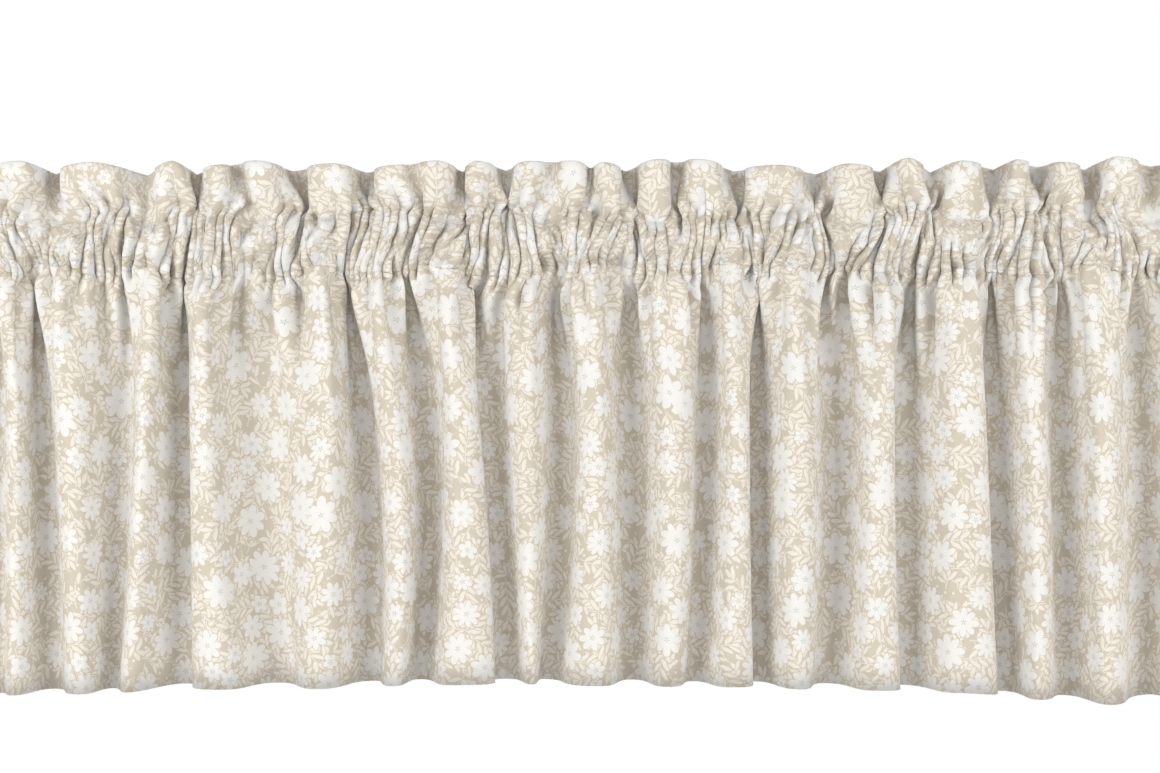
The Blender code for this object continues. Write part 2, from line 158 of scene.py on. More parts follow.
def skirt_creases(z):
    """Crests and valleys of the skirt at height z, from the left edge to the right one."""
    creases = [SIDE_EDGE]
    for fold in SKIRT_FOLDS:
        crest = through(fold.crest_top, fold.crest_mid, fold.crest_hem, z)
        valley = through(fold.valley_top, fold.valley_mid, fold.valley_hem, z)
        creases.append(Crease(crest, -fold.rise, fold.left, fold.right, 0.0))
        creases.append(Crease(valley, fold.drop, fold.floor, fold.floor, 0.0))
    creases[-1] = creases[-1]._replace(x=HUNG_WIDTH / 2)
    return creases


def ruffle_creases(foot):
    """Crests and valleys of the ruffle, from its top edge (foot 0) down to the stitching (foot 1)."""
    creases = [SIDE_EDGE]
    for flap in FLAPS:
        crest = flap.crest_top + (flap.crest_foot - flap.crest_top) * foot
        valley = flap.valley_top + (flap.valley_foot - flap.valley_top) * foot
        creases.append(Crease(crest, -flap.rise, flap.left, flap.right, flap.crest_edge))
        creases.append(Crease(valley, flap.drop, flap.floor, flap.floor, flap.valley_edge))
    creases[-1] = creases[-1]._replace(x=HUNG_WIDTH / 2)
    return creases


def section(creases, depth, steps=22):
    """Plan of the cloth: level Bezier flanks from crease to crease, their depths scaled."""
    spots = []
    for a, b in zip(creases, creases[1:]):
        run = b.x - a.x
        for step in range(steps):
            t = step / steps
            s = 1.0 - t
            x = (a.x * s ** 3 + 3 * (a.x + run * a.right) * s * s * t
                 + 3 * (b.x - run * b.left) * s * t * t + b.x * t ** 3)
            y = depth * (a.y + (b.y - a.y) * smooth(t))
            off_crest = abs(x - a.x if a.y < b.y else b.x - x) / run
            fall = min(off_crest, 1.0) ** EDGE_FALL
            high, low = (a.edge, b.edge) if a.y < b.y else (b.edge, a.edge)
            spots.append(Spot(x, y, high + (low - high) * fall))
    last = creases[-1]
    spots.append(Spot(last.x, depth * last.y, last.edge))
    return spots


def lengths(spots):
    """Running length along a plan, from 0 at its left end."""
    total = [0.0]
    for a, b in zip(spots, spots[1:]):
        total.append(total[-1] + math.hypot(b.x - a.x, b.y - a.y))
    return total


def full_depth(creases):
    """Depth scale at which the folds use up the whole flat width of the cloth."""
    low, high = 0.2, 4.0
    for _ in range(20):
        middle = (low + high) / 2
        if lengths(section(creases, middle))[-1] < FLAT_WIDTH:
            low = middle
        else:
            high = middle
    return low


def spread(spots, shares):
    """Spots at the given shares of a plan's length."""
    run = lengths(spots)
    placed = []
    at = 0
    for share in shares:
        want = share * run[-1]
        while at < len(run) - 2 and run[at + 1] < want:
            at += 1
        t = (want - run[at]) / max(run[at + 1] - run[at], 1e-9)
        a, b = spots[at], spots[at + 1]
        placed.append(Spot(*(p + (q - p) * t for p, q in zip(a, b))))
    return placed


def eased(values, reach):
    """Moving average whose window shrinks to nothing at the two ends."""
    total = [0.0]
    for value in values:
        total.append(total[-1] + value)
    result = []
    for i in range(len(values)):
        near = min(reach, i, len(values) - 1 - i)
        result.append((total[i + near + 1] - total[i - near]) / (2 * near + 1))
    return result


def puffed(x):
    """1 at the middle of a puff of the pocket, 0 in the tight gathers between puffs."""
    best = 0.0
    for puff in PUFFS:
        best = max(best, 1.0 - abs(x - puff.centre) / (PUFF_SPREAD * puff.half_width))
    return smooth(best * PUFF_FLATNESS)


def gathered_shares():
    """Share of the hung width at which each column of the cloth is stitched into the gathers."""
    above, below = ruffle_creases(0.0), skirt_creases(FOLD_TOP_Z)
    upper = spread(section(above, full_depth(above)), EVEN)
    lower = spread(section(below, full_depth(below)), EVEN)
    hung = eased([(a.x + b.x) / 2 for a, b in zip(upper, lower)], SETTLE_COLUMNS)
    places = [-HUNG_WIDTH / 2 + HUNG_WIDTH * i / ROD_PLACES for i in range(ROD_PLACES + 1)]
    smoothness = [puffed(x) for x in places]
    nearby = eased(smoothness, SETTLE_PLACES)
    run = [0.0]
    column = 0
    for i in range(ROD_PLACES):
        while column < COLUMNS - 2 and hung[column + 1] < places[i]:
            column += 1
        cloth = (places[i + 1] - places[i]) / (hung[column + 1] - hung[column])
        run.append(run[-1] + cloth * (1.0 + PUFF_SLACK * (nearby[i] - smoothness[i])))
    shares = []
    at = 0
    for column in range(COLUMNS):
        want = run[-1] * column / (COLUMNS - 1)
        while at < ROD_PLACES - 1 and run[at + 1] < want:
            at += 1
        shares.append((at + (want - run[at]) / (run[at + 1] - run[at])) / ROD_PLACES)
    return shares


def wandering(seed, pitch):
    """Smooth random values between -1 and 1 along the columns, one knot every pitch of cloth."""
    rng = random.Random(seed)
    knots = [rng.uniform(-1.0, 1.0) for _ in range(int(FLAT_WIDTH / pitch) + 3)]
    values = []
    for share in EVEN:
        at = share * FLAT_WIDTH / pitch
        k = int(at)
        values.append(knots[k] + (knots[k + 1] - knots[k]) * smooth(at - k))
    return values


# A set of fine puckers: out is each column's place between crest (1) and hollow (-1) and along its place on
# the flank, both times the pucker's own width in flat cloth.
Puckers = namedtuple("Puckers", "out along")
CREST_WIDTH = 0.12


def puckers(seed, narrow, wide):
    """Puckers of uneven width and height across the whole cloth."""
    rng = random.Random(seed)
    marks = [-rng.uniform(0.0, wide)]
    while marks[-1] < FLAT_WIDTH + wide:
        marks.append(marks[-1] + rng.uniform(narrow, wide))
    sizes = [(marks[min(k + 1, len(marks) - 1)] - marks[max(k - 1, 0)]) / 2 * rng.uniform(0.45, 1.3)
             for k in range(len(marks))]
    out, along = [], []
    k = 0
    for share in EVEN:
        place = share * FLAT_WIDTH
        while marks[k + 1] < place:
            k += 1
        t = (place - marks[k]) / (marks[k + 1] - marks[k])
        size = sizes[k] + (sizes[k + 1] - sizes[k]) * t
        out.append(size * math.cos(2 * math.pi * t))
        along.append(size * CREST_WIDTH * math.sin(2 * math.pi * t))
    return Puckers(out, along)


UPPER_PUCKERS = puckers(11, 7.5, 17.0)
LOWER_PUCKERS = puckers(23, 7.5, 17.0)
BROAD_PUCKERS = puckers(37, 16.0, 34.0)
LEAN = wandering(41, 48.0)
LEAN_REACH = 6.5
SIDE_FADE = 14.0
GATHERED = gathered_shares()


def leaning(direction):
    """Shares of the gathered cloth on one row of stitching, where puckers lean from row to row."""
    shares = []
    for share, lean in zip(GATHERED, LEAN):
        inside = min(share, 1.0 - share) * HUNG_WIDTH
        shares.append(share + direction * lean * LEAN_REACH / HUNG_WIDTH * smooth(inside / SIDE_FADE / 3))
    return shares


def plan(creases, opened, shares):
    """Places of the columns along one row whose folds have opened by a share of their depth."""
    soft = [c._replace(left=SOFT_CREST + (c.left - SOFT_CREST) * opened,
                       right=SOFT_CREST + (c.right - SOFT_CREST) * opened) for c in creases]
    ease = smooth((opened - GATHER_SHARE) / (1.0 - GATHER_SHARE))
    mixed = [g + (e - g) * ease for g, e in zip(shares, EVEN)]
    return spread(section(soft, full_depth(creases) * opened), mixed)


PUCKER_HEIGHT = 0.42
SLACK_REACH = 6
BEND = 7.0
BEND_RUN = Vector((21.0, 17.0))
FADE = 0.55
FADE_RUN = Vector((15.0, 21.0))


def rumpled(kind, above):
    """Puckers at a height above the seam: on their way up they bend, fade and run into one another."""
    out, along = [], []
    pitch = FLAT_WIDTH / (COLUMNS - 1)
    for i in range(COLUMNS):
        bend = BEND * noise.noise((i * pitch / BEND_RUN.x, above / BEND_RUN.y, 0.5))
        size = 1.0 + FADE * 2 * noise.noise((i * pitch / FADE_RUN.x, above / FADE_RUN.y, 7.5))
        at = min(max(i + bend / pitch, 0.0), COLUMNS - 1.001)
        k = int(at)
        out.append(size * (kind.out[k] + (kind.out[k + 1] - kind.out[k]) * (at - k)))
        along.append(size * (kind.along[k] + (kind.along[k + 1] - kind.along[k]) * (at - k)))
    return Puckers(out, along)


def normals(spots):
    """Unit normals of a plan, pointing backwards."""
    result = []
    for i in range(len(spots)):
        a, b = spots[max(i - 1, 0)], spots[min(i + 1, len(spots) - 1)]
        size = math.hypot(b.x - a.x, b.y - a.y)
        result.append(((a.y - b.y) / size, (b.x - a.x) / size))
    return result


def gathered(spots, mixture, share=1.0):
    """Fold the cloth that a plan leaves over into puckers. mixture is pairs of puckers and their weight."""
    cloth = 2 * FLAT_WIDTH / (COLUMNS - 1)
    runs = []
    for i in range(len(spots)):
        a, b = spots[max(i - 1, 0)], spots[min(i + 1, len(spots) - 1)]
        runs.append(math.hypot(b.x - a.x, b.y - a.y) * (1 if 0 < i < len(spots) - 1 else 2))
    slack = [max(cloth / run, 1.0) for run in eased(runs, SLACK_REACH)]
    share /= max(math.sqrt(sum(weight * weight for _, weight in mixture)), 1.0)
    folded = []
    for i, (spot, (nx, ny)) in enumerate(zip(spots, normals(spots))):
        height = share * PUCKER_HEIGHT * math.sqrt(slack[i] ** 2 - 1.0) / slack[i]
        height *= smooth(min(EVEN[i], 1.0 - EVEN[i]) * FLAT_WIDTH / SIDE_FADE)
        out = -height * sum(weight * kind.out[i] for kind, weight in mixture)
        along = height * sum(weight * kind.along[i] for kind, weight in mixture)
        folded.append(spot._replace(x=spot.x + nx * out + ny * along, y=spot.y + ny * out - nx * along))
    return folded


def layered(spots, backwards):
    """The layer of cloth at a distance behind (or, where negative, in front of) a plan."""
    return [s._replace(x=s.x + nx * backwards, y=s.y + ny * backwards)
            for s, (nx, ny) in zip(spots, normals(spots))]


Jerk = namedtuple("Jerk", "pitch height")
CLOSE_JERK = Jerk(8.0, 2.0)
FAR_JERK = Jerk(27.0, 1.5)


def stitched_line(middle_z, wave, seeds):
    """Height of a row of stitching at each column: it moves with the puffs and is jerked by the puckers."""
    close, far = (wandering(seed, jerk.pitch) for seed, jerk in zip(seeds, (CLOSE_JERK, FAR_JERK)))
    return [middle_z + wave * (puffed((share - 0.5) * HUNG_WIDTH) - 0.5)
            + CLOSE_JERK.height * a + FAR_JERK.height * b
            for share, a, b in zip(GATHERED, close, far)]


SEAM_LINE = stitched_line(SEAM_Z, SEAM_WAVE, (61, 67))
PINCH_LINE = stitched_line(PINCH_Z, -PINCH_WAVE, (71, 73))


# The printed cloth.
# A plain woven cotton blend, printed on its face with white flowers and cream sprigs on a taupe ground.
# The print is laid out on the flat cloth, in millimetres, so it folds with it. The reverse is paler.
GROUND = (0.438, 0.395, 0.330, 1.0)
LEAF_CREAM = (0.568, 0.542, 0.490, 1.0)
FLOWER_WHITE = (0.578, 0.571, 0.556, 1.0)
STAMEN_GREY = (0.270, 0.265, 0.265, 1.0)
REVERSE_CLOTH = (0.720, 0.695, 0.640, 1.0)
PRINT_EDGE = 0.16
HALO = 0.8


def put(tree, kind, settings=(), **inputs):
    """Add a shader node. An input is a plain value or another node's output."""
    node = tree.nodes.new("ShaderNode" + kind)
    for name, value in dict(settings).items():
        setattr(node, name, value)
    for name, value in inputs.items():
        if isinstance(value, bpy.types.NodeSocket):
            tree.links.new(value, node.inputs[name.replace("_", " ")])
        else:
            node.inputs[name.replace("_", " ")].default_value = value
    return node


def sums(tree, operation, *values):
    """One Math node's output."""
    node = tree.nodes.new("ShaderNodeMath")
    node.operation = operation
    for socket, value in zip(node.inputs, values):
        if isinstance(value, bpy.types.NodeSocket):
            tree.links.new(value, socket)
        else:
            socket.default_value = value
    return node.outputs[0]


def vectors(tree, operation, *values):
    """One Vector Math node's output."""
    node = tree.nodes.new("ShaderNodeVectorMath")
    node.operation = operation
    for socket, value in zip(node.inputs, values):
        if isinstance(value, bpy.types.NodeSocket):
            tree.links.new(value, socket)
        else:
            socket.default_value = value
    return node.outputs["Value" if operation in ("LENGTH", "DISTANCE") else "Vector"]


def effect(name, inputs, outputs):
    """A new shader group with its named sockets, and its input and output nodes."""
    tree = bpy.data.node_groups.new(name, "ShaderNodeTree")
    for label, kind in inputs.items():
        tree.interface.new_socket(label, in_out="INPUT", socket_type="NodeSocket" + kind)
    for label, kind in outputs.items():
        tree.interface.new_socket(label, in_out="OUTPUT", socket_type="NodeSocket" + kind)
    return tree, tree.nodes.new("NodeGroupInput").outputs, tree.nodes.new("NodeGroupOutput").inputs


def use(tree, shared, **inputs):
    """Place a shader group in another tree."""
    return put(tree, "Group", {"node_tree": shared}, **inputs).outputs


# A blossom: edge is the distance in millimetres from its outline, below 0 inside, and stamens the same for
# the little strokes at its heart. Each place of an uneven lattice has one, of its own size and petals.
LOBE_FULLNESS = 0.72
OVAL = 0.04
UNEVEN = 0.035
DEEPEST_NOTCH = 0.6
NOTCH_RANGE = -0.14
STAMEN_RING = 1.35
STAMEN_LENGTH = 0.75
STAMEN_HALF_WIDTH = 0.17
blossom, given, gives = effect(
    "Blossom",
    {"Point": "Vector", "Pitch": "Float", "Jitter": "Float", "Smallest": "Float", "Largest": "Float",
     "Petals": "Float"},
    {"Edge": "Float", "Stamens": "Float", "Heart": "Vector", "Radius": "Float"})
cell = put(blossom, "TexVoronoi", {"voronoi_dimensions": "2D"}, Vector=given["Point"],
           Scale=sums(blossom, "DIVIDE", 1.0, given["Pitch"]), Randomness=given["Jitter"]).outputs
luck = put(blossom, "SeparateColor", Color=cell["Color"]).outputs
away = vectors(blossom, "SUBTRACT", given["Point"], cell["Position"])
reach = vectors(blossom, "LENGTH", away)
across = put(blossom, "SeparateXYZ", Vector=away).outputs
angle = sums(blossom, "ADD", sums(blossom, "ARCTAN2", across["Y"], across["X"]),
             sums(blossom, "MULTIPLY", luck["Red"], 2 * math.pi))
radius = sums(blossom, "MULTIPLY_ADD", sums(blossom, "SUBTRACT", given["Largest"], given["Smallest"]),
              luck["Green"], given["Smallest"])
petals = sums(blossom, "ADD", sums(blossom, "FLOOR", sums(blossom, "MULTIPLY", luck["Blue"], 2.99)),
              given["Petals"])
lobe = sums(blossom, "POWER", sums(blossom, "ABSOLUTE", sums(
    blossom, "COSINE", sums(blossom, "MULTIPLY", sums(
        blossom, "MULTIPLY", petals, 0.5), angle))), LOBE_FULLNESS)
oval = sums(blossom, "COSINE", sums(blossom, "MULTIPLY_ADD", angle, 2.0, sums(
    blossom, "MULTIPLY", luck["Green"], 6.0)))
uneven = sums(blossom, "COSINE", sums(blossom, "MULTIPLY_ADD", angle, 3.0, sums(
    blossom, "MULTIPLY", luck["Blue"], 9.0)))
outline = sums(blossom, "MULTIPLY_ADD", oval, OVAL, sums(blossom, "MULTIPLY_ADD", uneven, UNEVEN, 1.0))
notch = sums(blossom, "MULTIPLY_ADD", luck["Green"], NOTCH_RANGE, DEEPEST_NOTCH)
outline = sums(blossom, "MULTIPLY", outline, sums(
    blossom, "SUBTRACT", 1.0, sums(blossom, "MULTIPLY", notch, sums(blossom, "SUBTRACT", 1.0, lobe))))
outline = sums(blossom, "MULTIPLY", outline, radius)
spoke = sums(blossom, "MULTIPLY", reach, sums(blossom, "ABSOLUTE", sums(
    blossom, "SINE", sums(blossom, "MULTIPLY", angle, 2.5))))
ring = sums(blossom, "ABSOLUTE", sums(blossom, "SUBTRACT", reach, STAMEN_RING))
for name, value in {
    "Edge": sums(blossom, "SUBTRACT", reach, outline),
    "Stamens": sums(blossom, "MAXIMUM", sums(
        blossom, "SUBTRACT", sums(blossom, "MULTIPLY", spoke, 0.4), STAMEN_HALF_WIDTH), sums(
        blossom, "SUBTRACT", ring, STAMEN_LENGTH)),
    "Heart": cell["Position"],
    "Radius": radius,
}.items():
    blossom.links.new(value, gives[name])

# A sprig: leaves along both sides of a bent stem, and one at its tip. Its leaves are slanted lenses.
STEM_BEND = 0.018
STEM_HALF_WIDTH = 0.32
LEAF_SLANT = 0.75
LEAF_PITCH = 0.72
sprig, given, gives = effect(
    "Sprig",
    {"Point": "Vector", "Heart": "Vector", "Luck": "Color", "Pairs": "Float", "Leaf Length": "Float",
     "Leaf Width": "Float", "Spacing": "Float"},
    {"Edge": "Float"})
luck = put(sprig, "SeparateColor", Color=given["Luck"]).outputs
place = put(sprig, "VectorRotate", {"rotation_type": "Z_AXIS"},
            Vector=vectors(sprig, "SUBTRACT", given["Point"], given["Heart"]),
            Angle=sums(sprig, "MULTIPLY", luck["Red"], 2 * math.pi))
place = put(sprig, "SeparateXYZ", Vector=place.outputs[0]).outputs
bend = sums(sprig, "MULTIPLY_ADD", luck["Green"], 2 * STEM_BEND, -STEM_BEND)
along = place["X"]
side = sums(sprig, "SUBTRACT", place["Y"], sums(
    sprig, "MULTIPLY", sums(sprig, "MULTIPLY", along, along), bend))
out = sums(sprig, "ABSOLUTE", side)
slanted = sums(sprig, "SUBTRACT", along, out)
offset = sums(sprig, "MULTIPLY", sums(sprig, "GREATER_THAN", side, 0.0), sums(
    sprig, "MULTIPLY", luck["Blue"], given["Spacing"]))
slot_run = sums(sprig, "DIVIDE", sums(sprig, "ADD", slanted, offset), given["Spacing"])
slot_at = sums(sprig, "SUBTRACT", sums(sprig, "FRACT", slot_run), 0.5)
half_wide = sums(sprig, "MULTIPLY", given["Leaf Width"], 0.5)
leaf_reach = sums(sprig, "MULTIPLY", given["Leaf Length"], LEAF_SLANT)
grown = sums(sprig, "DIVIDE", out, leaf_reach)
lens = sums(sprig, "MULTIPLY", sums(sprig, "MULTIPLY", sums(sprig, "MULTIPLY", grown, 4.0), sums(
    sprig, "SUBTRACT", 1.0, grown)), half_wide)
leaves = sums(sprig, "SUBTRACT", sums(sprig, "MULTIPLY", sums(sprig, "ABSOLUTE", sums(
    sprig, "MULTIPLY", slot_at, given["Spacing"])), LEAF_PITCH), lens)
row_end = sums(sprig, "MULTIPLY", given["Pairs"], 0.5)
beyond = sums(sprig, "MULTIPLY", sums(sprig, "SUBTRACT", sums(sprig, "ABSOLUTE", sums(
    sprig, "FLOOR", slot_run)), row_end), given["Spacing"])
leaves = sums(sprig, "MAXIMUM", leaves, beyond)
stem_end = sums(sprig, "MULTIPLY", sums(sprig, "ADD", row_end, 0.2), given["Spacing"])
stem = sums(sprig, "MAXIMUM", sums(sprig, "SUBTRACT", out, STEM_HALF_WIDTH), sums(
    sprig, "SUBTRACT", sums(sprig, "ABSOLUTE", along), stem_end))
tip_at = sums(sprig, "DIVIDE", sums(sprig, "SUBTRACT", along, stem_end), given["Leaf Length"])
tip = sums(sprig, "SUBTRACT", out, sums(sprig, "MULTIPLY", sums(sprig, "MULTIPLY", sums(
    sprig, "MULTIPLY", tip_at, 4.0), sums(sprig, "SUBTRACT", 1.0, tip_at)), half_wide))
edge = sums(sprig, "MINIMUM", sums(sprig, "MINIMUM", leaves, stem), tip)
sprig.links.new(edge, gives["Edge"])

# The whole print: blossoms lie over small blossoms, those over sprigs, then pairs of leaves, then buds. The
# lattices are turned against the cloth's own directions, so that no rows of motifs show.
PRINT_TURN = math.radians(27.0)
print_art, given, gives = effect("Floral print", {"Cloth": "Vector"}, {"Color": "Color", "Height": "Float"})
threads = vectors(print_art, "SCALE", given["Cloth"])
threads.node.inputs["Scale"].default_value = 1.0 / MM
point = put(print_art, "VectorRotate", {"rotation_type": "Z_AXIS"}, Vector=threads,
            Angle=PRINT_TURN).outputs["Vector"]


def ink(edge):
    """How much ink lies at a distance from an outline: 1 inside, 0 outside."""
    node = put(print_art, "MapRange", Value=edge, From_Min=PRINT_EDGE, From_Max=-PRINT_EDGE)
    return node.outputs["Result"]


SHIFT_SLOPE = 1.7


def shifted(by):
    """The cloth's coordinates moved along, so that two lattices never line up."""
    return vectors(print_art, "ADD", point, (by, by * SHIFT_SLOPE, 0.0))


LARGE = {"Pitch": 31.0, "Jitter": 0.65, "Smallest": 8.5, "Largest": 13.0, "Petals": 7.0}
SMALL = {"Pitch": 21.0, "Jitter": 0.6, "Smallest": 5.5, "Largest": 8.8, "Petals": 5.0}
SMALL_SHIFT = 311.0
OVERLAP = -1.0
FAR_AWAY = 50.0
large = use(print_art, blossom, Point=point, **LARGE)
small = use(print_art, blossom, Point=shifted(SMALL_SHIFT), **SMALL)
small_heart = vectors(print_art, "SUBTRACT", small["Heart"], (SMALL_SHIFT, SMALL_SHIFT * SHIFT_SLOPE, 0.0))
nearest = use(print_art, blossom, Point=small_heart, **LARGE)
room = sums(print_art, "SUBTRACT", vectors(print_art, "DISTANCE", small_heart, nearest["Heart"]),
            sums(print_art, "ADD", nearest["Radius"], small["Radius"]))
crowded = sums(print_art, "MULTIPLY", sums(print_art, "LESS_THAN", room, OVERLAP), FAR_AWAY)
small_edge = sums(print_art, "ADD", small["Edge"], crowded)
small_stamens = sums(print_art, "ADD", small["Stamens"], crowded)

SprigLayer = namedtuple("SprigLayer", "shift pitch jitter pairs leaf_length leaf_width spacing")
SPRIG_LAYERS = [
    SprigLayer(77.0, 25.0, 0.6, 3.0, 9.5, 3.3, 6.4),
    SprigLayer(523.0, 15.0, 0.7, 1.0, 8.5, 3.1, 6.2),
    SprigLayer(901.0, 13.0, 0.8, 1.0, 7.5, 2.9, 5.4),
]
over = sums(print_art, "MINIMUM", large["Edge"], small_edge)
leaf_ink = None
for layer in SPRIG_LAYERS:
    for feature in ("F1", "F2"):
        spot = put(print_art, "TexVoronoi", {"voronoi_dimensions": "2D", "feature": feature},
                   Vector=shifted(layer.shift), Scale=1.0 / layer.pitch, Randomness=layer.jitter).outputs
        grown = use(print_art, sprig, Point=shifted(layer.shift), Heart=spot["Position"],
                    Luck=spot["Color"], Pairs=layer.pairs, Leaf_Length=layer.leaf_length,
                    Leaf_Width=layer.leaf_width, Spacing=layer.spacing)["Edge"]
        clear = sums(print_art, "SUBTRACT", HALO, over)
        shown = sums(print_art, "MAXIMUM", grown, clear)
        leaf_ink = shown if leaf_ink is None else sums(print_art, "MINIMUM", leaf_ink, shown)
        over = sums(print_art, "MINIMUM", over, grown)
BUD_PITCH = 8.5
BUD_RADIUS = 1.0
bud = put(print_art, "TexVoronoi", {"voronoi_dimensions": "2D"}, Vector=shifted(1307.0),
          Scale=1.0 / BUD_PITCH, Randomness=0.9).outputs
bud_edge = sums(print_art, "MULTIPLY_ADD", bud["Distance"], BUD_PITCH, -BUD_RADIUS)
bud_edge = sums(print_art, "MAXIMUM", bud_edge, sums(print_art, "SUBTRACT", HALO, over))
leaf_ink = sums(print_art, "MINIMUM", leaf_ink, bud_edge)

small_ink = sums(print_art, "MAXIMUM", small_edge, sums(print_art, "SUBTRACT", HALO, large["Edge"]))
small_strokes = sums(print_art, "MAXIMUM", small_stamens, sums(print_art, "SUBTRACT", HALO, large["Edge"]))
flower_ink = sums(print_art, "MINIMUM", large["Edge"], small_ink)
strokes = sums(print_art, "MINIMUM", large["Stamens"], small_strokes)


def over_print(below, edge, colour):
    """One more colour of ink over what is printed below."""
    node = put(print_art, "Mix", {"data_type": "RGBA"})
    print_art.links.new(ink(edge), node.inputs[0])
    if isinstance(below, bpy.types.NodeSocket):
        print_art.links.new(below, node.inputs[6])
    else:
        node.inputs[6].default_value = below
    node.inputs[7].default_value = colour
    return node.outputs[2]


printed = over_print(GROUND, leaf_ink, LEAF_CREAM)
printed = over_print(printed, flower_ink, FLOWER_WHITE)
printed = over_print(printed, strokes, STAMEN_GREY)
slub = put(print_art, "TexNoise", Vector=vectors(print_art, "MULTIPLY", threads, (0.35, 2.6, 1.0)), Scale=1.0,
           Detail=2.0)
tone = put(print_art, "MapRange", Value=slub.outputs["Fac"], From_Min=0.3, From_Max=0.7, To_Min=0.975,
           To_Max=1.02)
shade = vectors(print_art, "SCALE", printed)
print_art.links.new(tone.outputs["Result"], shade.node.inputs["Scale"])
print_art.links.new(shade, gives["Color"])
WEAVE_PITCH = 0.8
across = put(print_art, "SeparateXYZ", Vector=threads).outputs
warp = sums(print_art, "SINE", sums(print_art, "MULTIPLY", across["X"], 2 * math.pi / WEAVE_PITCH))
weft = sums(print_art, "SINE", sums(print_art, "MULTIPLY", across["Y"], 2 * math.pi / WEAVE_PITCH))
print_art.links.new(sums(print_art, "MULTIPLY_ADD", sums(print_art, "MULTIPLY", warp, weft), 0.5, sums(
    print_art, "MULTIPLY", slub.outputs["Fac"], 0.8)), gives["Height"])
# Fine creases, pressed into the cloth where it is gathered: all along the pocket, front and back, and fading
# out beyond its two rows of stitching. Their height is in millimetres. The pocket's reach is how far from
# the ruffle's edge they start, are full, are still full and end.
RUFFLE_EDGE = 389.0
POCKET_REACH = (40.0, 50.0, 88.0, 99.0)
CREASE_RUN = (1 / 6.5, 1 / 14.0, 1.0)
CREASE_HEIGHT = 1.2
PATCH_SCALE = 0.045
WEAVE_HEIGHT = 0.025
creases, given, gives = effect("Gather creases", {"Cloth": "Vector"}, {"Height": "Float"})
flat = vectors(creases, "SCALE", given["Cloth"])
flat.node.inputs["Scale"].default_value = 1.0 / MM
from_edge = sums(creases, "ABSOLUTE", sums(
    creases, "SUBTRACT", put(creases, "SeparateXYZ", Vector=flat).outputs["Y"], RUFFLE_EDGE))
starts = put(creases, "MapRange", Value=from_edge, From_Min=POCKET_REACH[0], From_Max=POCKET_REACH[1])
ends = put(creases, "MapRange", Value=from_edge, From_Min=POCKET_REACH[3], From_Max=POCKET_REACH[2])
patches = put(creases, "TexNoise", Vector=flat, Scale=PATCH_SCALE, Detail=1.0)
pressed = put(creases, "MapRange", Value=patches.outputs["Fac"], From_Min=0.35, From_Max=0.65, To_Min=0.25)
lines = put(creases, "TexNoise", Vector=vectors(creases, "MULTIPLY", flat, CREASE_RUN), Scale=1.0, Detail=1.5,
            Distortion=1.1)
rims = sums(creases, "SUBTRACT", 1.0, sums(creases, "ABSOLUTE", sums(
    creases, "MULTIPLY_ADD", lines.outputs["Fac"], 4.0, -2.0)))
where = sums(creases, "MULTIPLY", starts.outputs["Result"], ends.outputs["Result"])
depth = sums(creases, "MULTIPLY", pressed.outputs["Result"], CREASE_HEIGHT)
creases.links.new(sums(creases, "MULTIPLY", rims, sums(creases, "MULTIPLY", where, depth)), gives["Height"])


def cloth_material(name, faded):
    """The printed face, or its reverse, where the print only shows through."""
    material = bpy.data.materials.new(name)
    material.use_nodes = True
    tree = material.node_tree
    shader = tree.nodes["Principled BSDF"]
    laid_out = put(tree, "UVMap", {"uv_map": "Cloth"}).outputs["UV"]
    art = use(tree, print_art, Cloth=laid_out)
    colour = put(tree, "Mix", {"data_type": "RGBA"})
    colour.inputs[0].default_value = faded
    tree.links.new(art["Color"], colour.inputs[6])
    colour.inputs[7].default_value = REVERSE_CLOTH
    tree.links.new(colour.outputs[2], shader.inputs["Base Color"])
    creased = use(tree, creases, Cloth=laid_out)["Height"]
    relief = put(tree, "Bump", Strength=1.0, Distance=MM,
                 Height=sums(tree, "MULTIPLY_ADD", art["Height"], WEAVE_HEIGHT, creased))
    tree.links.new(relief.outputs["Normal"], shader.inputs["Normal"])
    shader.inputs["Roughness"].default_value = 0.88
    shader.inputs["Specular IOR Level"].default_value = 0.25
    shader.inputs["Sheen Weight"].default_value = 0.12
    shader.inputs["Sheen Roughness"].default_value = 0.5
    return material


CLOTH_THICKNESS = 0.5
printed_face = cloth_material("Printed cotton face", 0.0)
plain_reverse = cloth_material("Printed cotton reverse", 0.72)


def cloth_piece(name, rows, heights):
    """A sheet of cloth from rows of points, laid out flat at the given heights for its print."""
    width = len(rows[0])
    points = [(x * MM, y * MM, z * MM) for row in rows for x, y, z, _ in row]
    faces = [(r * width + i, r * width + i + 1, (r + 1) * width + i + 1, (r + 1) * width + i)
             for r in range(len(rows) - 1) for i in range(width - 1)]
    mesh = bpy.data.meshes.new(name)
    mesh.from_pydata(points, [], faces)
    laid_out = mesh.uv_layers.new(name="Cloth")
    for loop in mesh.loops:
        row, column = divmod(loop.vertex_index, width)
        laid_out.data[loop.index].uv = (rows[row][column][3] * MM, heights[row] * MM)
    piece = bpy.data.objects.new(name, mesh)
    bpy.context.scene.collection.objects.link(piece)
    mesh.materials.append(printed_face)
    mesh.materials.append(plain_reverse)
    mesh.shade_smooth()
    wall = piece.modifiers.new("Cloth thickness", "SOLIDIFY")
    wall.thickness = CLOTH_THICKNESS * MM
    wall.offset = 0.0
    wall.material_offset = 1
    bpy.context.view_layer.objects.active = piece
    piece.select_set(True)
    bpy.ops.object.modifier_apply(modifier=wall.name)
    piece.select_set(False)
    return piece


